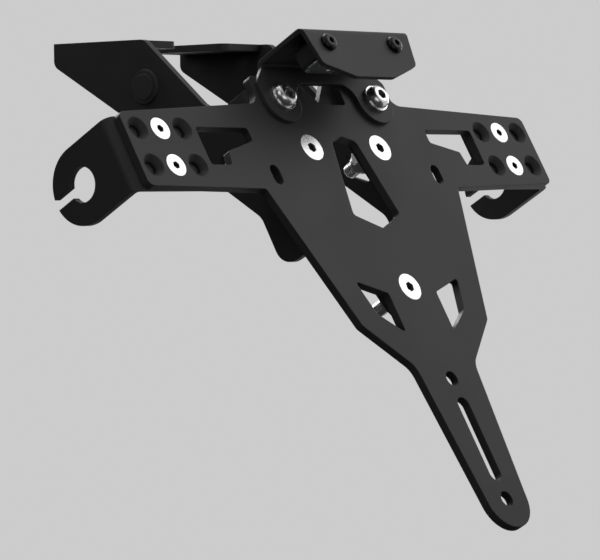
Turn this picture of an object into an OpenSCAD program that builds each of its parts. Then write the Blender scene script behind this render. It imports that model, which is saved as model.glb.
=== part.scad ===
// License plate holder for a motorbike: a flat T-shaped plate carrier on a folded base bracket,
// with two indicator brackets and a number plate lamp under a folded hood.
// Millimetres. +Z is up, +Y points to the front of the vehicle, +X is to the right seen from behind.
// The origin is the middle of the four mounting slots, on the upper face of the mounting flanges.

/* [Carrier] */
// sheet thickness of the plate carrier
carrier_sheet = 3.5; // [2.5:0.5:5]
// overall width of the carrier across both arms
carrier_width = 252; // [220:1:280]
// height of an arm at its free end
arm_height = 33; // [26:1:40]
// distance from the screw line down to the centre of the rounded tail end
tail_length = 161.5; // [140:0.5:190]
// width of the tail at its rounded end
tail_width = 25; // [20:0.5:32]
// lean of the carrier away from vertical, in degrees
carrier_lean = 30; // [15:1:45]
// bore of the carrier screw holes
screw_bore = 6.6; // [6.4:0.1:7]
// width of the long tail slot
slot_width = 6.8; // [5:0.1:8]

/* [Base bracket] */
// sheet thickness of the folded bracket
base_sheet = 3; // [2:0.5:4]
// width across the outer faces of the two side cheeks
base_width = 81; // [70:1:100]
// length of a mounting slot between its arc centres
mount_slot_length = 8; // [4:1:14]
// width of a mounting slot
mount_slot_width = 6.6; // [5.5:0.1:9]
// distance between the mounting slots across the bracket
mount_pitch_x = 50; // [40:1:60]
// distance between the mounting slots along the bracket
mount_pitch_y = 28; // [20:1:36]
// level distance from the carrier screw line to the middle of the mounting slots
mount_reach = 102; // [90:1:116]
// height of the mounting face over the carrier screw line
mount_rise = 46; // [40:1:52]

/* [Indicator brackets] */
// sheet thickness of an indicator bracket
flange_sheet = 3; // [2:0.5:4]
// diameter of the indicator hole
indicator_bore = 14; // [8:0.5:16]
// height of the open cable slot into that hole
cable_slot = 4.5; // [3:0.5:7]
// distance of the hole behind the carrier face
indicator_depth = 28; // [22:1:34]
// height of the strip that the bracket is folded from, and diameter of its round end
indicator_strip = 32; // [28:0.5:36]

/* [Number plate lamp] */
// sheet thickness of the lamp bracket
hood_sheet = 2; // [1.5:0.5:3]
// distance of the hood face in front of the carrier face
hood_depth = 28.3; // [22:0.1:34]
// distance between the two lamp screws
lamp_pitch = 41.2; // [34:0.1:46]
// distance from a lamp screw to the end of the housing
lamp_end = 6.4; // [5.5:0.1:8]
// depth of the lamp housing behind the hood face
lamp_deep = 11; // [10.5:0.1:14]

/* [Fasteners] */
// distance between the two upper carrier screws
screw_pitch = 42.8; // [38:0.1:48]
// distance from that line down to the lower carrier screw
screw_drop = 65.3; // [58:0.1:72]
// distance of a main bolt inside the outer face of its cheek
bolt_inset = 11.5; // [11.5:0.5:14]
// height of the main bolts over the carrier screw line
bolt_rise = 22; // [20:0.5:24]
// distance of the used arm screws inside the free end of the arm
arm_screw_inset = 19.8; // [18:0.1:22]
// spacing of the three hole columns at an arm end
arm_column = 12.5; // [12:0.1:14]
// height of the upper arm screw over the screw line
arm_screw_high = 8.1; // [6:0.1:10]
// height of the lower arm screw over the screw line
arm_screw_low = -8.4; // [-10:0.1:-6]

/* [Which piece] */
// node to draw

/* [Hidden] */
$fn = 64;
arm_end = carrier_width / 2;
arm_top = arm_height / 2 - 0.9;
arm_low = -arm_height / 2 - 0.9;
web_front = -carrier_sheet;
web_back = web_front - base_sheet;
cheek_out = base_width / 2;
cheek_in = cheek_out - base_sheet;
bolt_x = cheek_out - bolt_inset;
ear_radius = 10.5;
arm_screw_x = arm_end - arm_screw_inset;
tab_inner = arm_screw_x - 18.2;
hood_top = 39.6;
housing_front = hood_depth - hood_sheet;
housing_back = housing_front - lamp_deep;
housing_low = 27;
lamp_screw_y = 32;
lamp_length = lamp_pitch + 2 * lamp_end;
cavity_half = lamp_pitch / 2 - 5.2;
nut_pocket = housing_front - 7.3;
tab_front = -carrier_sheet;
tab_back = tab_front - flange_sheet;
flange_in = arm_end + 0.5;
flange_out = flange_in + flange_sheet;
indicator_y = -0.5;
strip_half = indicator_strip / 2;
tail_slot_top = -119.4;
tail_slot_low = -tail_length + 11.5;

// corner arc between two edges of an outline
function unit(v) = v / norm(v);
function arc_points(a, b, c, r, n) =
    let (u = unit(a - b), v = unit(c - b), half = acos(u * v) / 2, m = b + unit(u + v) * r / sin(half),
         p = b + u * r / tan(half), q = b + v * r / tan(half),
         s = atan2(p.y - m.y, p.x - m.x), e = atan2(q.y - m.y, q.x - m.x), turn = (e - s + 900) % 360 - 180)
    [for (i = [0:n]) m + r * [cos(s + turn * i / n), sin(s + turn * i / n)]];
// outline from points written as x, y and corner radius
function rounded(list, n = 8) =
    let (count = len(list))
    [for (i = [0:count - 1])
        let (a = list[(i + count - 1) % count], b = list[i], c = list[(i + 1) % count])
        each (b[2] == 0 ? [[b.x, b.y]] : arc_points([a.x, a.y], [b.x, b.y], [c.x, c.y], b[2], n))];
// the same half outline mirrored to make a closed symmetric one
function both_sides(half) =
    let (count = len(half))
    concat(half, [for (i = [count - 1:-1:0]) [-half[i].x, half[i].y, half[i][2]]]);
// depth behind the carrier face and height along it, from a level distance and a level height
function leaned(forward, height) = [forward * cos(carrier_lean) - height * sin(carrier_lean),
                                    forward * sin(carrier_lean) + height * cos(carrier_lean)];

// place of the plugged hole in a cheek
plug_place = leaned(mount_reach - 28, mount_rise - 19.7);

// carrier coordinates: X across, Y up along the carrier face, Z out of its front face
module on_carrier() {
    translate([0, -mount_reach, -mount_rise])
        rotate([90 - carrier_lean, 0, 0])
            children();
}

// an outline in depth and height turned to stand at a sideways distance
module standing(x, thick) {
    translate([x, 0, 0])
        rotate([0, 90, 0])
            linear_extrude(thick)
                children();
}

module straight_bore(x, y, d, top = 1, deep = 20) {
    translate([x, y, -deep])
        cylinder(d = d, h = deep + top);
}

// straight bore with a right-angled conical seat at the front face
module sunk_bore(x, y, d, seat) {
    straight_bore(x, y, d);
    translate([x, y, -(seat - d) / 2])
        cylinder(d1 = d, d2 = seat, h = (seat - d) / 2);
    translate([x, y, 0])
        cylinder(d = seat, h = 1);
}

module slot_cut(x, y, w, long, deep = 20, top = 1) {
    for (s = [-1, 1])
        translate([x, y + s * long / 2, -deep])
            cylinder(d = w, h = deep + top);
    translate([x - w / 2, y - long / 2, -deep])
        cube([w, long, deep + top]);
}

// carrier: flat sheet with a notched neck, two tapering arms, a shouldered body and a long tail
module plate_carrier() {
    outline = both_sides([
        [12, 20.5, 1.5], [12, 33.5, 2], [41.5, 33.5, 2.5], [41.5, 20.7, 6],
        [arm_end, arm_top, 3], [arm_end, arm_low, 3], [60.3, -19.2, 1.2],
        [39.6, -81.8, 3], [18.6, -101.2, 9], [tail_width / 2, -tail_length - 0.5, 0]]);
    centre_window = both_sides([[0.01, 5.3, 0], [7.6, 2.9, 3], [14.6, -31.6, 2], [0.01, -38, 0]]);
    arm_window = [[55.6, 8.9, 1.5], [tab_inner - 2, 8.9, 1.5], [tab_inner - 2, -8.2, 1.5], [tab_inner - 14.2, -8.2, 1],
                  [tab_inner - 15.4, -1.9, 1], [55.6, 2.7, 1.5]];
    low_window = [[32.2, -62, 1], [15, -67.9, 1.5], [15, -86.2, 1], [27.6, -76.9, 2]];
    color([0.07, 0.07, 0.075])
    on_carrier()
    difference() {
        union() {
            translate([0, 0, -carrier_sheet])
                linear_extrude(carrier_sheet)
                    polygon(rounded(outline));
            translate([0, -tail_length, -carrier_sheet])
                cylinder(d = tail_width, h = carrier_sheet);
        }
        translate([0, 0, -10])
            linear_extrude(20)
                polygon(rounded(centre_window));
        for (side = [0, 1])
            mirror([side, 0, 0]) {
                translate([0, 0, -10])
                    linear_extrude(20) {
                        polygon(rounded(arm_window));
                        polygon(rounded(low_window));
                    }
                slot_cut(50.4, -12.8, 5.4, 3.8);
                straight_bore(bolt_x, bolt_rise, screw_bore);
                sunk_bore(screw_pitch / 2, 0, screw_bore, 12.3);
                for (column = [-1:1])
                    for (y = [arm_screw_high, arm_screw_low])
                        sunk_bore(arm_screw_x + column * arm_column, y, 5.5, 10.3);
            }
        sunk_bore(0, -screw_drop, screw_bore, 12.3);
        straight_bore(0, -107.5, 6.6);
        slot_cut(0, (tail_slot_top + tail_slot_low) / 2, slot_width, tail_slot_top - tail_slot_low);
        straight_bore(0, -tail_length, 6.6);
    }
}

// base bracket: one folded sheet, a web against the carrier, two cheeks and two mounting flanges
module base_bracket() {
    shoulder = leaned(41, 17.5);
    flat_start = leaned(mount_reach - 27, mount_rise);
    flat_end = leaned(mount_reach + 25, mount_rise);
    toe = leaned(mount_reach + 25, mount_rise - 9.5);
    cheek = rounded([
        [-web_front, 30, 0], [17.4, 29.5, 6],
        [shoulder.x, shoulder.y, 8], [flat_start.x, flat_start.y, 5], [flat_end.x, flat_end.y, 0], [toe.x, toe.y, 4],
        [38, 6.5, 12], [23.4, -19, 9], [23.8, -42.4, 8], [-web_front, -43.4, 0]]);
    window = rounded([[21.5, -5, 1.2], [28, 14.5, 1.2], [34.6, 8, 1.2]]);
    web_outline = both_sides([
        [0.01, 23.5, 0], [8.8, 34, 1.5], [cheek_out - 12.5, 34, 4], [cheek_out - 7, 30, 1], [cheek_out + 9.5, 30, 0],
        [cheek_out + 9.5, -43.4, 0], [22, -43.4, 6], [11, -76, 5]]);
    web_window = both_sides([[0.01, 8, 0], [10, 6, 2], [19, -34, 4], [0.01, -45, 0]]);
    color([0.07, 0.07, 0.075])
    difference() {
        union() {
            on_carrier() {
                intersection() {
                    translate([0, 120, 0])
                        rotate([90, 0, 0])
                            linear_extrude(220)
                                difference() {
                                    polygon(rounded([[-cheek_out, web_front, 4.5], [-cheek_out, -130, 0],
                                                     [cheek_out, -130, 0], [cheek_out, web_front, 4.5]]));
                                    polygon(rounded([[-cheek_in, web_back, 1.5], [-cheek_in, -131, 0],
                                                     [cheek_in, -131, 0], [cheek_in, web_back, 1.5]]));
                                }
                    union() {
                        translate([0, 0, web_back - 2])
                            linear_extrude(base_sheet + 2)
                                polygon(rounded(web_outline));
                        for (x = [-cheek_out - 1, cheek_in - 2])
                            standing(x, base_sheet + 3)
                                polygon(cheek);
                    }
                }
                for (side = [0, 1])
                    mirror([side, 0, 0])
                        translate([0, 0, web_back])
                            linear_extrude(base_sheet)
                                polygon([[cheek_out - 20.5, 34], [cheek_out - 12.5, 34], [cheek_out - 7, 30], [cheek_out - 7, 28],
                                     [cheek_out - 20.5, 28]]);
            }
            for (side = [0, 1])
                mirror([side, 0, 0])
                    translate([0, -22, -base_sheet])
                        linear_extrude(base_sheet)
                            polygon(rounded([[14, 0, 4], [cheek_in + 0.5, 0, 0], [cheek_in + 0.5, 44, 0], [14, 44, 4]]));
        }
        on_carrier() {
            translate([0, 0, web_back - 6])
                linear_extrude(base_sheet + 12)
                    polygon(rounded(web_window));
            standing(-cheek_out - 5, base_width + 10)
                polygon(window);
            for (x = [-1, 1]) {
                straight_bore(x * bolt_x, bolt_rise, screw_bore);
                straight_bore(x * screw_pitch / 2, 0, screw_bore);
            }
            straight_bore(0, -screw_drop, screw_bore);
            translate([-cheek_out - 5, plug_place.y, -plug_place.x])
                rotate([0, 90, 0])
                    cylinder(d = 8, h = base_width + 10);
        }
        for (x = [-1, 1])
            for (y = [-1, 1])
                translate([x * mount_pitch_x / 2, y * mount_pitch_y / 2, 0])
                    rotate(90)
                        slot_cut(0, 0, mount_slot_width, mount_slot_length, 10);
    }
}

// plain blanking plugs in the round holes of the two cheeks
module side_caps() {
    color([0.05, 0.05, 0.055])
    on_carrier()
        for (side = [0, 1])
            mirror([side, 0, 0])
                translate([cheek_out, plug_place.y, -plug_place.x])
                    rotate([0, 90, 0]) {
                        cylinder(d1 = 15, d2 = 14, h = 1.2);
                        cylinder(d = 10.6, h = 1.7);
                        translate([0, 0, -base_sheet - 1.6])
                            cylinder(d = 7.9, h = base_sheet + 2);
                        translate([0, 0, -base_sheet - 1.6])
                            cylinder(d1 = 7.6, d2 = 9, h = 1.5);
                    }
}

// indicator bracket: one strip behind the arm end, folded forward into a round-ended flange with a keyhole
module indicator_bracket() {
    low = indicator_y - strip_half;
    high = indicator_y + strip_half;
    color([0.07, 0.07, 0.075])
    on_carrier()
    difference() {
        intersection() {
            translate([0, 60, 0])
                rotate([90, 0, 0])
                    linear_extrude(120)
                        difference() {
                            polygon(rounded([[50, tab_front, 0], [flange_out, tab_front, 4.5], [flange_out, -60, 0], [50, -60, 0]]));
                            polygon(rounded([[49, tab_back, 0], [flange_in, tab_back, 1.5], [flange_in, -61, 0], [49, -61, 0]]));
                        }
            union() {
                translate([0, 0, tab_back - 0.5])
                    linear_extrude(flange_sheet + 0.5)
                        polygon(rounded([[tab_inner, low, 2], [tab_inner, high, 2], [arm_end + 24, high, 0], [arm_end + 24, low, 0]]));
                standing(flange_in - 2, flange_sheet + 3)
                    polygon([[0, low], [indicator_depth, low], [indicator_depth, high], [0, high]]);
                translate([flange_in - 2, indicator_y, -indicator_depth])
                    rotate([0, 90, 0])
                        cylinder(d = indicator_strip, h = flange_sheet + 3);
            }
        }
        for (y = [arm_screw_high, arm_screw_low])
            straight_bore(arm_screw_x, y, 5.5);
        translate([flange_in - 5, indicator_y, -indicator_depth])
            rotate([0, 90, 0])
                cylinder(d = indicator_bore, h = flange_sheet + 10);
        translate([flange_in - 5, indicator_y - cable_slot / 2, -indicator_depth - 30])
            cube([flange_sheet + 10, cable_slot, 30]);
    }
}

module indicator_bracket_left() {
    mirror([1, 0, 0])
        indicator_bracket();
}

module indicator_bracket_right() {
    indicator_bracket();
}

// countersunk screw with a hexagon socket, its seat cone matching the hole
module sunk_screw(x, y, d, head, seat, long, key, turn) {
    rim = (seat - head) / 2;
    translate([x, y, 0.02])
        difference() {
            union() {
                translate([0, 0, -rim])
                    cylinder(d = head, h = rim);
                translate([0, 0, -rim - (head - d) / 2])
                    cylinder(d1 = d, d2 = head, h = (head - d) / 2);
                translate([0, 0, -long + 0.5])
                    cylinder(d = d, h = long - 1);
                translate([0, 0, -long])
                    cylinder(d1 = d - 1, d2 = d, h = 0.5);
            }
            translate([0, 0, -key * 0.62])
                rotate(turn)
                    cylinder(d = key / cos(30), h = 10, $fn = 6);
        }
}

// lock nut: chamfered hexagon with a plain collar; its seat is at height z and it stands towards -Z
module lock_nut(x, y, z, d, across, high, turn) {
    translate([x, y, z - high])
        difference() {
            union() {
                intersection() {
                    translate([0, 0, high * 0.3])
                        rotate(turn)
                            cylinder(d = across / cos(30), h = high * 0.7, $fn = 6);
                    translate([0, 0, high * 0.3])
                        cylinder(d1 = across * 0.98, d2 = across * 0.98 + high * 2.2, h = high * 0.7);
                    translate([0, 0, high * 0.3])
                        cylinder(d2 = across * 0.98, d1 = across * 0.98 + high * 2.2, h = high * 0.7);
                }
                cylinder(d = across * 0.84, h = high * 0.4);
            }
            translate([0, 0, -1])
                cylinder(d = d + 0.06, h = high + 2);
        }
}

// flat washer with its lower face towards the nut at height z
module flat_washer(x, y, z, d, outer, thick) {
    translate([x, y, z])
        difference() {
            cylinder(d = outer, h = thick);
            translate([0, 0, -1])
                cylinder(d = d, h = thick + 2);
        }
}

// button head screw with a hexagon socket, its seat at height z, pointing to -Z
module button_screw(x, y, z, d, head, high, long, key, turn) {
    crown = head * 0.27;
    translate([x, y, z])
        difference() {
            union() {
                rotate_extrude()
                    polygon(concat([[0, 0], [head / 2, 0]],
                                   [for (a = [0:10:80]) [crown + (head / 2 - crown) * cos(a), high * 0.12 + high * 0.88 * sin(a)]],
                                   [[crown, high], [0, high]]));
                translate([0, 0, -long + 0.6])
                    cylinder(d = d, h = long);
                translate([0, 0, -long])
                    cylinder(d1 = d - 1.2, d2 = d, h = 0.6);
            }
            translate([0, 0, high - key * 0.5])
                rotate(turn)
                    cylinder(d = key / cos(30), h = 10, $fn = 6);
        }
}

module each_arm_screw() {
    for (side = [-1, 1])
        for (y = [arm_screw_high, arm_screw_low])
            translate([side * arm_screw_x, y, 0])
                children();
}

module each_carrier_screw() {
    for (p = [[-screw_pitch / 2, 0], [screw_pitch / 2, 0], [0, -screw_drop]])
        translate([p.x, p.y, 0])
            children();
}

// four M5 countersunk screws, two at each arm end
module arm_screws() {
    color([0.72, 0.72, 0.72])
    on_carrier()
        each_arm_screw()
            sunk_screw(0, 0, 5, 9.8, 10.3, 14, 3, 12);
}

module arm_washers() {
    color([0.66, 0.66, 0.67])
    on_carrier()
        each_arm_screw()
            flat_washer(0, 0, tab_back - 1, 5.3, 10, 1);
}

module arm_nuts() {
    color([0.66, 0.66, 0.67])
    on_carrier()
        each_arm_screw()
            lock_nut(0, 0, tab_back - 1, 5, 8, 5, 0);
}

// three M6 countersunk screws that hold the carrier on the web
module carrier_screws() {
    color([0.72, 0.72, 0.72])
    on_carrier()
        each_carrier_screw()
            sunk_screw(0, 0, 6, 12, 12.3, 20, 4, 25);
}

module carrier_washers() {
    color([0.66, 0.66, 0.67])
    on_carrier()
        each_carrier_screw()
            flat_washer(0, 0, web_back - 1.6, 6.4, 12, 1.6);
}

module carrier_nuts() {
    color([0.66, 0.66, 0.67])
    on_carrier()
        each_carrier_screw()
            lock_nut(0, 0, web_back - 1.6, 6, 10, 6, 15);
}

// two M6 button head bolts through the lamp bracket, the carrier and the web
module main_bolts() {
    color([0.72, 0.72, 0.72])
    on_carrier()
        for (side = [-1, 1])
            button_screw(side * bolt_x, bolt_rise, hood_sheet + 1.6, 6, 10.5, 3.3, 20, 4, 8);
}

module main_washers() {
    color([0.66, 0.66, 0.67])
    on_carrier()
        for (side = [-1, 1])
            flat_washer(side * bolt_x, bolt_rise, hood_sheet, 6.4, 12, 1.6);
}

module main_nuts() {
    color([0.66, 0.66, 0.67])
    on_carrier()
        for (side = [-1, 1])
            lock_nut(side * bolt_x, bolt_rise, web_back, 6, 10, 6, 30);
}

// lamp bracket: one folded sheet, two round ears under the bolts, a roof and a hanging front face
module lamp_bracket() {
    face = both_sides([[0.01, 16.3, 0], [12, 16.3, 10], [29.2, 22.2, 3], [32.8, hood_top - 0.6, 0], [32.9, 50, 0]]);
    color([0.07, 0.07, 0.075])
    on_carrier()
    difference() {
        intersection() {
            standing(-60, 120)
                difference() {
                    polygon(rounded([[0, 0, 0], [0, hood_top, 3], [-hood_depth, hood_top, 3], [-hood_depth, 0, 0]]));
                    polygon(rounded([[-hood_sheet, -1, 0], [-hood_sheet, hood_top - hood_sheet, 1],
                                     [-housing_front, hood_top - hood_sheet, 1], [-housing_front, -1, 0]]));
                }
            union() {
                for (x = [-1, 1])
                    translate([x * bolt_x, bolt_rise - 0.5, -1])
                        cylinder(r = ear_radius, h = 6);
                translate([0, 0, -1])
                    linear_extrude(6)
                        polygon(rounded(both_sides([
                            [0.01, 29.4, 0], [bolt_x - ear_radius, 29.4, 7.8], [bolt_x - ear_radius, bolt_rise - 0.5, 0],
                            [bolt_x + ear_radius, bolt_rise - 0.5, 0], [bolt_x + ear_radius, 30, 3], [32.8, 36.5, 2],
                            [32.8, 50, 0]])));
                translate([-32.8, 36.2, -1])
                    cube([65.6, 10, hood_depth - 4]);
                translate([0, 0, hood_depth - 8])
                    linear_extrude(12)
                        polygon(rounded(face));
            }
        }
        for (x = [-1, 1])
            straight_bore(x * bolt_x, bolt_rise, screw_bore, 10, 10);
        for (x = [-1, 1])
            translate([x * lamp_pitch / 2, lamp_screw_y, hood_depth - 6])
                cylinder(d = 4.5, h = 10);
    }
}

// lamp housing: moulded block with a cavity open at the bottom and two nut pockets open at the top
module lamp_housing() {
    color([0.03, 0.03, 0.03])
    on_carrier()
    difference() {
        translate([0, 0, housing_back])
            linear_extrude(lamp_deep)
                polygon(rounded(both_sides([[0.01, housing_low, 0], [lamp_length / 2, housing_low, 1.5],
                                            [lamp_length / 2, 36.4, 3], [0.01, 36.4, 0]])));
        translate([-cavity_half, housing_low - 1, housing_back + 2])
            cube([cavity_half * 2, 8, lamp_deep - 3.6]);
        for (x = [-1, 1])
            translate([x * lamp_pitch / 2, lamp_screw_y, 0]) {
                translate([0, 0, housing_back + 1.7])
                    cylinder(d = 4.4, h = 20);
                translate([0, 0, nut_pocket + 0.2])
                    hull() {
                        rotate(30)
                            cylinder(d = 7.2 / cos(30), h = 3.4, $fn = 6);
                        translate([-3.6, 0, 0])
                            cube([7.2, 6, 3.4]);
                    }
            }
    }
}

module lamp_seal() {
    color([0.02, 0.02, 0.02])
    on_carrier()
    difference() {
        translate([-lamp_length / 2 + 1, housing_low - 0.5, housing_back + 0.8])
            cube([lamp_length - 2, 0.5, lamp_deep - 1.6]);
        translate([-cavity_half, housing_low - 1, housing_back + 2])
            cube([cavity_half * 2, 2, lamp_deep - 3.6]);
    }
}

// lens: a clear plate under the seal with a hollow plug that stands in the cavity
module lamp_lens() {
    color([0.9, 0.92, 0.95, 0.6])
    on_carrier()
    difference() {
        union() {
            translate([-lamp_length / 2 + 1, housing_low - 2, housing_back + 0.8])
                cube([lamp_length - 2, 1.5, lamp_deep - 1.6]);
            translate([-cavity_half + 0.2, housing_low - 0.6, housing_back + 2.2])
                cube([cavity_half * 2 - 0.4, 2.6, lamp_deep - 4]);
        }
        translate([-cavity_half + 1.4, housing_low - 1, housing_back + 3.2])
            cube([cavity_half * 2 - 2.8, 5, lamp_deep - 6]);
    }
}

module lamp_board() {
    color([0.75, 0.76, 0.74])
    on_carrier()
        translate([-cavity_half + 0.2, housing_low + 5.6, housing_back + 2.2])
            cube([cavity_half * 2 - 0.4, 1.4, lamp_deep - 4]);
}

// three light-emitting packages on the lower face of the board
module lamp_leds() {
    color([0.95, 0.9, 0.6])
    on_carrier()
        for (x = [-10, 0, 10])
            translate([x, housing_low + 5.6, housing_back + 5.7]) {
                translate([-1.75, -0.8, -1.4])
                    cube([3.5, 0.8, 2.8]);
                translate([0, -0.8, 0])
                    rotate([90, 0, 0])
                        cylinder(d1 = 2.2, d2 = 1.6, h = 0.5);
            }
}

module lamp_screws() {
    color([0.03, 0.03, 0.03])
    on_carrier()
        for (side = [-1, 1])
            button_screw(side * lamp_pitch / 2, lamp_screw_y, hood_depth, 4, 7.6, 2.2, 10, 2.5, 20);
}

module lamp_nuts() {
    color([0.66, 0.66, 0.67])
    on_carrier()
        for (side = [-1, 1])
            translate([side * lamp_pitch / 2, lamp_screw_y, nut_pocket + 0.3])
                difference() {
                    rotate(30)
                        cylinder(d = 7 / cos(30), h = 3.2, $fn = 6);
                    translate([0, 0, -1])
                        cylinder(d = 4.06, h = 6);
                }
}

plate_carrier();
base_bracket();
side_caps();
indicator_bracket_left();
indicator_bracket_right();
arm_screws();
arm_washers();
arm_nuts();
carrier_screws();
carrier_washers();
carrier_nuts();
main_bolts();
main_washers();
main_nuts();
lamp_bracket();
lamp_housing();
lamp_seal();
lamp_lens();
lamp_board();
lamp_leds();
lamp_screws();
lamp_nuts();
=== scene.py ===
"""Looks and studio for a motorbike license plate holder of black coated sheet metal."""
import math

import bmesh
import bpy
from mathutils import Matrix, Vector


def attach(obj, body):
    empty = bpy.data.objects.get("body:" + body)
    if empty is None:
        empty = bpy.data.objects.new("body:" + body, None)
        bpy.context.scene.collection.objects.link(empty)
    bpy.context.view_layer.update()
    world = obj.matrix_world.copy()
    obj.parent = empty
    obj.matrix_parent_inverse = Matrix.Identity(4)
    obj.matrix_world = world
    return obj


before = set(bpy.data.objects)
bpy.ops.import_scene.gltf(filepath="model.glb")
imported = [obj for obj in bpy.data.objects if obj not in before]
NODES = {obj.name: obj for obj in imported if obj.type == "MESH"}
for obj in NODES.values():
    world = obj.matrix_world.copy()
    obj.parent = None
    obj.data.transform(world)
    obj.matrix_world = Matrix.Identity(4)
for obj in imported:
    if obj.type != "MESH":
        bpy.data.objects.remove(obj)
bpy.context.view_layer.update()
scene = bpy.context.scene


# Material helpers

# Colours of the painted shade laid deep in recesses of the coat and of the plating
COAT_PAINTED_SHADE = (0.004, 0.004, 0.004)
PLATING_PAINTED_SHADE = (0.035, 0.035, 0.034)


def new_material(name):
    """An empty node material with its principled shader."""
    material = bpy.data.materials.new(name)
    material.use_nodes = True
    shader = material.node_tree.nodes["Principled BSDF"]
    return material, shader


class Tree:
    """Short names for adding and linking shader nodes."""

    def __init__(self, material):
        self.nodes = material.node_tree.nodes
        self.links = material.node_tree.links
        self.coords = self.nodes.new("ShaderNodeTexCoord").outputs["Object"]

    def link(self, source, target):
        self.links.new(source, target)

    def noise(self, scale, detail=2.0, rough=0.5, coords=None):
        node = self.nodes.new("ShaderNodeTexNoise")
        node.inputs["Scale"].default_value = scale
        node.inputs["Detail"].default_value = detail
        node.inputs["Roughness"].default_value = rough
        self.link(coords or self.coords, node.inputs["Vector"])
        return node.outputs["Fac"]

    def voronoi(self, scale):
        node = self.nodes.new("ShaderNodeTexVoronoi")
        node.inputs["Scale"].default_value = scale
        self.link(self.coords, node.inputs["Vector"])
        return node.outputs["Distance"]

    def stretched(self, factors):
        node = self.nodes.new("ShaderNodeMapping")
        node.inputs["Scale"].default_value = factors
        self.link(self.coords, node.inputs["Vector"])
        return node.outputs["Vector"]

    def span(self, source, low, high, start=0.0, end=1.0):
        """Maps a value from start..end to low..high and stays inside."""
        node = self.nodes.new("ShaderNodeMapRange")
        node.inputs["From Min"].default_value = start
        node.inputs["From Max"].default_value = end
        node.inputs["To Min"].default_value = low
        node.inputs["To Max"].default_value = high
        self.link(source, node.inputs["Value"])
        return node.outputs["Result"]

    def math(self, operation, first, second):
        node = self.nodes.new("ShaderNodeMath")
        node.operation = operation
        for socket, value in zip(node.inputs, (first, second)):
            if isinstance(value, (int, float)):
                socket.default_value = value
            else:
                self.link(value, socket)
        return node.outputs[0]

    def mix(self, factor, first, second):
        """Mixes two colours, each a socket or three numbers."""
        node = self.nodes.new("ShaderNodeMix")
        node.data_type = "RGBA"
        self.link(factor, node.inputs[0])
        for socket, value in ((node.inputs[6], first), (node.inputs[7], second)):
            if isinstance(value, tuple):
                socket.default_value = (*value, 1.0)
            else:
                self.link(value, socket)
        return node.outputs[2]

    def rounded_edge(self, radius):
        """Normal rounded over each edge, and a mask that is 1 on the edge."""
        bevel = self.nodes.new("ShaderNodeBevel")
        bevel.samples = 4
        bevel.inputs["Radius"].default_value = radius
        geometry = self.nodes.new("ShaderNodeNewGeometry")
        dot = self.nodes.new("ShaderNodeVectorMath")
        dot.operation = "DOT_PRODUCT"
        self.link(bevel.outputs["Normal"], dot.inputs[0])
        self.link(geometry.outputs["Normal"], dot.inputs[1])
        mask = self.span(dot.outputs["Value"], 1.0, 0.0, 0.75, 0.99)
        return bevel.outputs["Normal"], mask

    def recess(self, reach, low, high):
        """Mask that is 1 deep in a recess, read from how much of the surroundings a point sees; it lays
        painted shade into the recess.
        """
        node = self.nodes.new("ShaderNodeAmbientOcclusion")
        node.samples = 8
        node.only_local = True
        node.inputs["Distance"].default_value = reach
        return self.span(node.outputs["AO"], 1.0, 0.0, low, high)

    def bump(self, height, strength, distance, normal=None):
        node = self.nodes.new("ShaderNodeBump")
        node.inputs["Strength"].default_value = strength
        node.inputs["Distance"].default_value = distance
        self.link(height, node.inputs["Height"])
        if normal is not None:
            self.link(normal, node.inputs["Normal"])
        return node.outputs["Normal"]


def powder_coat(name, dark, light, wear_and_highlight):
    """Satin powder coat: fine peel, slow changes of tone, thin rubbed edges lightened partly as wear and
    partly as a painted highlight, and painted shade in recesses.
    """
    material, shader = new_material(name)
    tree = Tree(material)
    slow = tree.noise(22.0, 3.0, 0.6)
    peel = tree.noise(1500.0, 2.0, 0.5)
    grain = tree.noise(5200.0, 2.0, 0.6)
    edge_normal, edge = tree.rounded_edge(0.0005)
    # The edges are lightened in patches: rubbed wear together with a painted highlight along each edge
    patches = tree.span(tree.noise(260.0, 3.0, 0.7), 0.15, 1.0, 0.35, 0.65)
    edge_wear_and_highlight = tree.math("MULTIPLY", edge, patches)
    tone = tree.mix(tree.span(slow, 0.0, 1.0, 0.3, 0.7), dark, light)
    tone = tree.mix(tree.math("MULTIPLY", edge_wear_and_highlight, 0.7), tone, wear_and_highlight)
    # Painted shade: the coat goes nearly black deep in recesses, and rougher there
    painted_recess_shade = tree.recess(0.006, 0.55, 0.98)
    tone = tree.mix(tree.math("MULTIPLY", painted_recess_shade, 0.9), tone, COAT_PAINTED_SHADE)
    tree.link(tone, shader.inputs["Base Color"])
    rough = tree.math("ADD", tree.span(slow, 0.46, 0.56, 0.3, 0.7), tree.span(grain, -0.04, 0.04))
    rough = tree.math("SUBTRACT", rough, tree.math("MULTIPLY", edge, 0.08))
    rough = tree.math("ADD", rough, tree.math("MULTIPLY", painted_recess_shade, 0.4))
    tree.link(rough, shader.inputs["Roughness"])
    height = tree.math("ADD", peel, tree.math("MULTIPLY", grain, 0.35))
    tree.link(tree.bump(height, 0.16, 0.00012, edge_normal), shader.inputs["Normal"])
    shader.inputs["Specular IOR Level"].default_value = 0.24
    return material


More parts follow.
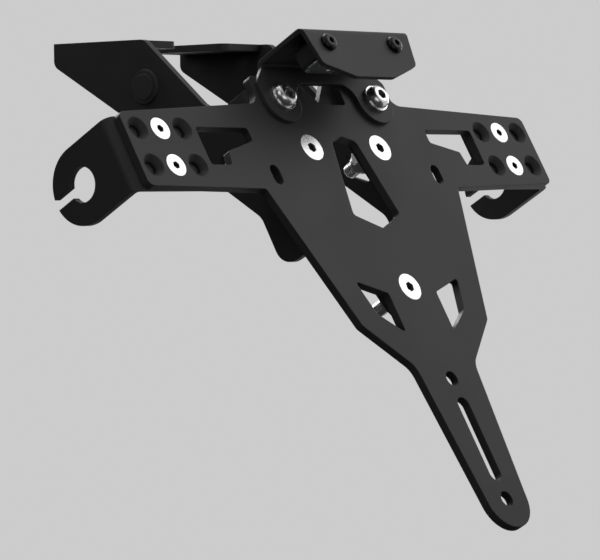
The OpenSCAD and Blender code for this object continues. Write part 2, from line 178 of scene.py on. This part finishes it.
def plated_steel(name, base, spots, rough_low, rough_high, edge_size):
    """Plated steel: fine turning lines, faint stains, soft edges with a painted highlight, and painted
    shade in recesses.
    """
    material, shader = new_material(name)
    tree = Tree(material)
    stain = tree.noise(420.0, 4.0, 0.65)
    lines = tree.noise(900.0, 2.0, 0.5, tree.stretched((1.0, 6.0, 6.0)))
    fine = tree.noise(6500.0, 2.0, 0.5)
    edge_normal, edge = tree.rounded_edge(edge_size)
    tone = tree.mix(tree.span(stain, 0.0, 1.0, 0.35, 0.75), base, spots)
    # Painted highlight: the plating is lighter along its edges
    plating_edge_highlight = tuple(min(1.0, value * 1.25 + 0.02) for value in base)
    tone = tree.mix(tree.math("MULTIPLY", edge, 0.5), tone, plating_edge_highlight)
    # Painted shade: the plating goes dark deep in sockets and other recesses, and rougher there
    painted_recess_shade = tree.recess(0.004, 0.25, 0.75)
    tone = tree.mix(painted_recess_shade, tone, PLATING_PAINTED_SHADE)
    tree.link(tone, shader.inputs["Base Color"])
    rough = tree.span(tree.math("ADD", stain, lines), rough_low, rough_high, 0.7, 1.3)
    tree.link(tree.math("ADD", rough, tree.math("MULTIPLY", painted_recess_shade, 0.3)), shader.inputs["Roughness"])
    height = tree.math("ADD", lines, tree.math("MULTIPLY", fine, 0.4))
    tree.link(tree.bump(height, 0.12, 0.00005, edge_normal), shader.inputs["Normal"])
    shader.inputs["Metallic"].default_value = 1.0
    return material


def moulded(name, dark, light, rough_low, rough_high, grain_scale, depth):
    """Moulded plastic or rubber with a grained skin and a painted highlight along its edges."""
    material, shader = new_material(name)
    tree = Tree(material)
    slow = tree.noise(60.0, 3.0, 0.6)
    cells = tree.voronoi(grain_scale)
    fine = tree.noise(grain_scale * 2.4, 2.0, 0.6)
    edge_normal, edge = tree.rounded_edge(0.0004)
    tone = tree.mix(tree.span(slow, 0.0, 1.0, 0.3, 0.7), dark, light)
    # Painted highlight: the skin is paler along its edges
    plastic_edge_highlight = tuple(value * 1.7 + 0.004 for value in light)
    tone = tree.mix(tree.math("MULTIPLY", edge, 0.45), tone, plastic_edge_highlight)
    tree.link(tone, shader.inputs["Base Color"])
    tree.link(tree.span(fine, rough_low, rough_high, 0.3, 0.7), shader.inputs["Roughness"])
    height = tree.math("ADD", cells, tree.math("MULTIPLY", fine, 0.5))
    tree.link(tree.bump(height, 0.3, depth, edge_normal), shader.inputs["Normal"])
    return material


def clear_lens():
    """Clear moulded lens with fine cross flutes."""
    material, shader = new_material("lens_clear")
    tree = Tree(material)
    flutes = tree.nodes.new("ShaderNodeTexWave")
    flutes.wave_type = "BANDS"
    flutes.bands_direction = "X"
    flutes.inputs["Scale"].default_value = 150.0
    flutes.inputs["Distortion"].default_value = 0.0
    tree.link(tree.coords, flutes.inputs["Vector"])
    haze = tree.noise(90.0, 3.0, 0.6)
    tone = tree.mix(haze, (0.76, 0.78, 0.79), (0.7, 0.73, 0.74))
    tree.link(tone, shader.inputs["Base Color"])
    tree.link(tree.span(haze, 0.06, 0.16, 0.3, 0.7), shader.inputs["Roughness"])
    tree.link(tree.bump(flutes.outputs["Fac"], 0.5, 0.0004), shader.inputs["Normal"])
    shader.inputs["Transmission Weight"].default_value = 0.9
    shader.inputs["IOR"].default_value = 1.49
    return material


coat = powder_coat("black_powder_coat", dark=(0.034, 0.034, 0.0345), light=(0.042, 0.042, 0.0425),
                   wear_and_highlight=(0.085, 0.085, 0.087))
zinc = plated_steel("bright_zinc", base=(0.86, 0.86, 0.87), spots=(0.74, 0.74, 0.74),
                    rough_low=0.2, rough_high=0.34, edge_size=0.00025)
nut_zinc = plated_steel("dull_zinc", base=(0.62, 0.62, 0.63), spots=(0.5, 0.5, 0.5),
                        rough_low=0.28, rough_high=0.44, edge_size=0.0003)
black_zinc = plated_steel("black_zinc", base=(0.035, 0.035, 0.037), spots=(0.022, 0.022, 0.024),
                          rough_low=0.26, rough_high=0.4, edge_size=0.0003)
plastic = moulded("grained_black_plastic", dark=(0.022, 0.022, 0.0225), light=(0.03, 0.03, 0.031),
                  rough_low=0.5, rough_high=0.66, grain_scale=2400.0, depth=0.00012)
rubber = moulded("seal_rubber_black", dark=(0.014, 0.014, 0.014), light=(0.02, 0.02, 0.02),
                 rough_low=0.72, rough_high=0.86, grain_scale=3000.0, depth=0.00008)
lens = clear_lens()
board = moulded("white_board", dark=(0.58, 0.6, 0.58), light=(0.66, 0.67, 0.65),
                rough_low=0.36, rough_high=0.5, grain_scale=1800.0, depth=0.00003)
nylon = moulded("natural_nylon", dark=(0.66, 0.65, 0.6), light=(0.74, 0.73, 0.69),
                rough_low=0.4, rough_high=0.55, grain_scale=2600.0, depth=0.00003)
phosphor = moulded("phosphor_resin", dark=(0.82, 0.7, 0.2), light=(0.9, 0.78, 0.3),
                   rough_low=0.3, rough_high=0.42, grain_scale=3500.0, depth=0.00003)

FINISH = {
    "plate_carrier": coat, "base_bracket": coat, "indicator_bracket_left": coat,
    "indicator_bracket_right": coat, "lamp_bracket": coat,
    "arm_screws": zinc, "carrier_screws": zinc, "main_bolts": zinc,
    "arm_washers": nut_zinc, "carrier_washers": nut_zinc,
    "arm_nuts": nut_zinc, "carrier_nuts": nut_zinc, "main_nuts": nut_zinc, "lamp_nuts": nut_zinc,
    "main_washers": zinc, "lamp_screws": black_zinc,
    "side_caps": plastic, "lamp_housing": plastic, "lamp_seal": rubber, "lamp_lens": lens,
    "lamp_board": board, "lamp_leds": phosphor,
}
for name, material in FINISH.items():
    node_object = NODES[name]
    node_object.data.materials.clear()
    node_object.data.materials.append(material)


# Rounded edges on the sheets and the housing; the base bracket's edges are rounded by its coat alone

EDGE_WIDTHS = {
    "plate_carrier": 0.00035, "indicator_bracket_left": 0.00035, "indicator_bracket_right": 0.00035,
    "lamp_bracket": 0.0003, "lamp_housing": 0.0004,
}
WELD_DISTANCE = 0.00003
SMALLEST_FOLD = math.radians(40.0)
for name, width in EDGE_WIDTHS.items():
    node_object = NODES[name]
    weld = node_object.modifiers.new("weld", "WELD")
    weld.merge_threshold = WELD_DISTANCE
    bevel = node_object.modifiers.new("edges", "BEVEL")
    bevel.width = width
    bevel.segments = 2
    bevel.limit_method = "ANGLE"
    bevel.angle_limit = SMALLEST_FOLD
    bevel.harden_normals = False
    bevel.miter_outer = "MITER_ARC"
    normals = node_object.modifiers.new("normals", "WEIGHTED_NORMAL")
    normals.keep_sharp = True


# Threads on the screw ends behind the nuts, and the nylon rings of the lock nuts

# Lengths in this section are millimetres in the frame of the leaned carrier, and z points out of its face.
LEAN = math.radians(30.0)
LEAN_COS, LEAN_SIN = math.cos(LEAN), math.sin(LEAN)
# Where the middle of the carrier's face lies in the row frame, along y and z, in metres
CARRIER_MIDDLE = (-0.102, -0.046)


def on_carrier(x, y, z):
    """A point across, along and out of the carrier's face, turned to the row frame in metres."""
    return Vector((x / 1000.0,
                   (y * LEAN_SIN - z * LEAN_COS) / 1000.0 + CARRIER_MIDDLE[0],
                   (y * LEAN_COS + z * LEAN_SIN) / 1000.0 + CARRIER_MIDDLE[1]))


def on_circle(x, y, radius, turn, level):
    """A point on a circle round a screw's axis."""
    return on_carrier(x + radius * math.cos(turn), y + radius * math.sin(turn), level)


def add_piece(name, form, material):
    """Turns a form into a smooth piece that rides on the body."""
    for face in form.faces:
        face.smooth = True
    mesh = bpy.data.meshes.new(name)
    form.to_mesh(mesh)
    form.free()
    mesh.materials.append(material)
    piece = bpy.data.objects.new(name, mesh)
    scene.collection.objects.link(piece)
    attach(piece, "root")
    return piece


THREAD_STEPS = 28
RUN_OUT_STEPS = 10.0
# Height of the ridge and half widths of its foot and crest, as shares of the pitch
THREAD_RISE = 0.17
THREAD_FOOT = 0.34
THREAD_CREST = 0.08
# The foot of the ridge lies this far inside the screw
THREAD_SUNK = -0.03


def thread_turns(form, x, y, radius, low, high, pitch):
    """One helical ridge round a screw from height low to height high, running out at both ends."""
    count = int((high - low) / pitch * THREAD_STEPS)
    rise = THREAD_RISE * pitch
    rings = []
    for index in range(count + 1):
        turn = math.tau * index / THREAD_STEPS
        level = low + pitch * index / THREAD_STEPS
        run_out = min(1.0, index / RUN_OUT_STEPS, (count - index) / RUN_OUT_STEPS)
        profile = ((-THREAD_FOOT * pitch, THREAD_SUNK), (-THREAD_CREST * pitch, rise * run_out),
                   (THREAD_CREST * pitch, rise * run_out), (THREAD_FOOT * pitch, THREAD_SUNK))
        rings.append([form.verts.new(on_circle(x, y, radius + out, turn, level + offset))
                      for offset, out in profile])
    for first, second in zip(rings, rings[1:]):
        for a in range(4):
            b = (a + 1) % 4
            form.faces.new((first[a], second[a], second[b], first[b]))
    form.faces.new(rings[0])
    form.faces.new(reversed(rings[-1]))


RING_STEPS = 48
RING_FOOT = 0.6
RING_PROUD = 0.16


def nylon_ring(form, x, y, bore, outer, end):
    """Ring with chamfered rims that starts inside a lock nut and stands a little proud of its far end."""
    profile = [(bore, end + RING_FOOT), (bore, end - 0.05), (bore + 0.12, end - RING_PROUD),
               (outer - 0.15, end - RING_PROUD), (outer, end - 0.02), (outer, end + RING_FOOT)]
    rings = [[form.verts.new(on_circle(x, y, radius, math.tau * step / RING_STEPS, level))
              for radius, level in profile] for step in range(RING_STEPS)]
    for step in range(RING_STEPS):
        first, second = rings[step], rings[(step + 1) % RING_STEPS]
        for a in range(len(profile)):
            b = (a + 1) % len(profile)
            form.faces.new((first[a], first[b], second[b], second[a]))


# Radius and pitch of a screw's thread, then bore and outer radius of its nut's nylon ring
M5 = (2.5, 0.8, 2.51, 3.02)
M6 = (3.0, 1.0, 3.01, 3.7)
# Thread, heights where its ridge starts and ends, height of the nut's far end, and places of the screws
FASTENERS = [
    (M5, -13.3, -12.6, -12.5, [(-106.2, 8.1), (-106.2, -8.4), (106.2, 8.1), (106.2, -8.4)]),
    (M6, -19.2, -14.2, -14.1, [(-21.4, 0.0), (21.4, 0.0), (0.0, -65.3)]),
    (M6, -15.6, -12.6, -12.5, [(-29.0, 22.0), (29.0, 22.0)]),
]

thread_form = bmesh.new()
ring_form = bmesh.new()
for (radius, pitch, bore, outer), ridge_low, ridge_high, nut_end, places in FASTENERS:
    for x, y in places:
        thread_turns(thread_form, x, y, radius, ridge_low, ridge_high, pitch)
        nylon_ring(ring_form, x, y, bore, outer, nut_end)
for form in (thread_form, ring_form):
    bmesh.ops.recalc_face_normals(form, faces=form.faces)
add_piece("screw_threads", thread_form, zinc)
add_piece("nut_rings", ring_form, nylon)


# Studio: a pale floor that runs up all round into a pale wall and ceiling, without a seam

BACKDROP = (0.61, 0.61, 0.61)
FLOOR_LEVEL = -0.26
ROOM_RADIUS = 7.0
COVE_RADIUS = 2.5
COVE_STEPS = 16
ROOM_STEPS = 72
FLAT_RADIUS = 2.0
WALL_TOP = 6.0
ROOM_GLOW = 0.99
TENT_GLOW = 0.035


def glow_only(name, colour, paint, strength):
    """Matte material that shows its own even glow."""
    material, shader = new_material(name)
    shader.inputs["Base Color"].default_value = (*paint, 1.0)
    shader.inputs["Roughness"].default_value = 1.0
    shader.inputs["Specular IOR Level"].default_value = 0.0
    shader.inputs["Emission Color"].default_value = (*colour, 1.0)
    shader.inputs["Emission Strength"].default_value = strength
    return material


def studio_room():
    """Round room whose floor, wall and ceiling run into one another through wide coves."""
    inner = ROOM_RADIUS - COVE_RADIUS
    cove_top = WALL_TOP - COVE_RADIUS
    angles = [math.radians(90.0 * step / COVE_STEPS) for step in range(1, COVE_STEPS + 1)]
    profile = [(0.0, FLOOR_LEVEL), (FLAT_RADIUS, FLOOR_LEVEL), (inner, FLOOR_LEVEL)]
    profile += [(inner + COVE_RADIUS * math.sin(angle), FLOOR_LEVEL + COVE_RADIUS * (1.0 - math.cos(angle)))
                for angle in angles]
    profile.append((ROOM_RADIUS, cove_top))
    profile += [(inner + COVE_RADIUS * math.cos(angle), cove_top + COVE_RADIUS * math.sin(angle))
                for angle in angles]
    profile.append((0.0, WALL_TOP))
    mesh = bpy.data.meshes.new("studio_room")
    form = bmesh.new()
    points = [form.verts.new((radius, 0.0, height)) for radius, height in profile]
    edges = [form.edges.new(pair) for pair in zip(points, points[1:])]
    bmesh.ops.spin(form, geom=points + edges, cent=(0, 0, 0), axis=(0, 0, 1), angle=math.tau,
                   steps=ROOM_STEPS, use_merge=True)
    bmesh.ops.remove_doubles(form, verts=form.verts, dist=0.0001)
    bmesh.ops.recalc_face_normals(form, faces=form.faces)
    bmesh.ops.reverse_faces(form, faces=form.faces)
    for face in form.faces:
        face.smooth = True
    form.to_mesh(mesh)
    form.free()
    room = bpy.data.objects.new("studio_room", mesh)
    scene.collection.objects.link(room)
    mesh.materials.append(glow_only("studio_paper", BACKDROP, (0.0, 0.0, 0.0), ROOM_GLOW))


STUDIO_CENTRE = (0.0, -0.1, -0.08)


def aim(item, place, target):
    """Puts a light at a place, turned to a target."""
    item.location = place
    item.rotation_mode = "QUATERNION"
    item.rotation_quaternion = (Vector(target) - Vector(place)).to_track_quat("-Z", "Y")


def softbox(name, direction, distance, size, radiance):
    """Square area light whose face has the radiance asked for."""
    light = bpy.data.lights.new(name, "AREA")
    light.shape = "SQUARE"
    light.size = size
    light.energy = radiance * math.pi * size * size
    item = bpy.data.objects.new(name, light)
    scene.collection.objects.link(item)
    aim(item, Vector(STUDIO_CENTRE) + Vector(direction).normalized() * distance, STUDIO_CENTRE)
    item.visible_camera = False


# The tent's skirt hangs this far above the floor
TENT_FLOOR_GAP = 0.01


def light_tent(name, away, reach, radius):
    """Dark grey cloth round one side of the part and under it, unseen and open towards the lights."""
    form = bmesh.new()
    bmesh.ops.create_uvsphere(form, u_segments=48, v_segments=24, radius=radius)
    direction = Vector(away).normalized()
    open_faces = [face for face in form.faces
                  if face.calc_center_median().normalized().dot(direction) < reach]
    bmesh.ops.delete(form, geom=open_faces, context="FACES")
    floor_gap = FLOOR_LEVEL + TENT_FLOOR_GAP - STUDIO_CENTRE[2]
    for vertex in form.verts:
        if vertex.co.z < floor_gap:
            vertex.co *= floor_gap / vertex.co.z
    mesh = bpy.data.meshes.new(name)
    form.to_mesh(mesh)
    form.free()
    tent = bpy.data.objects.new(name, mesh)
    tent.location = STUDIO_CENTRE
    scene.collection.objects.link(tent)
    mesh.materials.append(glow_only(name, (1.0, 1.0, 1.0), (0.004, 0.004, 0.004), TENT_GLOW))
    tent.visible_camera = False


# Name, direction from the middle of the studio, distance, length of a side, and radiance
SOFTBOXES = [
    ("key_softbox", (0.68, -0.358, 0.74), 1.2, 0.7, 1.1),
    ("front_softbox", (-0.5, -0.85, 0.03), 1.1, 0.8, 1.05),
    ("left_softbox", (-0.79, -0.06, 0.53), 1.05, 0.5, 1.25),
    ("rear_softbox", (0.25, 0.85, 0.5), 1.4, 1.1, 5.0),
    ("right_softbox", (0.98, 0.2, 0.1), 1.6, 0.8, 3.2),
    ("top_softbox", (0.1, 0.3, 0.95), 1.4, 0.6, 1.6),
]
WORLD_STRENGTH = 0.4

studio_room()
for name, direction, distance, size, radiance in SOFTBOXES:
    softbox(name, direction, distance, size, radiance)
light_tent("light_tent", away=(-0.8, -0.2, -0.55), reach=-0.12, radius=1.2)

world = bpy.data.worlds.new("studio_world")
world.use_nodes = True
world.node_tree.nodes["Background"].inputs["Color"].default_value = (*BACKDROP, 1.0)
world.node_tree.nodes["Background"].inputs["Strength"].default_value = WORLD_STRENGTH
scene.world = world
scene.view_settings.view_transform = "Standard"
scene.view_settings.look = "None"

# Camera: at the photograph's place and angle, with a longer lens so that the part fills the frame.
# Focal length, window and centres are in pixels of the photograph.

CAMERA_PLACE = (-1.147871, -1.078319, -0.071255)
CAMERA_RIGHT = (0.662046, -0.749364, -0.012155)
CAMERA_DOWN = (-0.020483, -0.001879, -0.999788)
CAMERA_FORWARD = (0.749183, 0.662155, -0.016593)
PHOTO_FOCAL = 1329.91
WINDOW = 216.0
WINDOW_CENTRE = (308.0, 282.0)
PHOTO_CENTRE = (300.0, 279.0)
SENSOR_WIDTH = 36.0

camera_data = bpy.data.cameras.new("camera")
camera = bpy.data.objects.new("camera", camera_data)
scene.collection.objects.link(camera)
columns = [Vector(CAMERA_RIGHT), -Vector(CAMERA_DOWN), -Vector(CAMERA_FORWARD)]
turn = Matrix([[column[row] for column in columns] for row in range(3)])
camera.matrix_world = Matrix.Translation(CAMERA_PLACE) @ turn.to_4x4()
camera_data.sensor_width = SENSOR_WIDTH
camera_data.lens = PHOTO_FOCAL / WINDOW * SENSOR_WIDTH
camera_data.shift_x = (WINDOW_CENTRE[0] - PHOTO_CENTRE[0]) / WINDOW
camera_data.shift_y = -(WINDOW_CENTRE[1] - PHOTO_CENTRE[1]) / WINDOW
camera_data.clip_start = 0.01
camera_data.clip_end = 100.0
scene.camera = camera
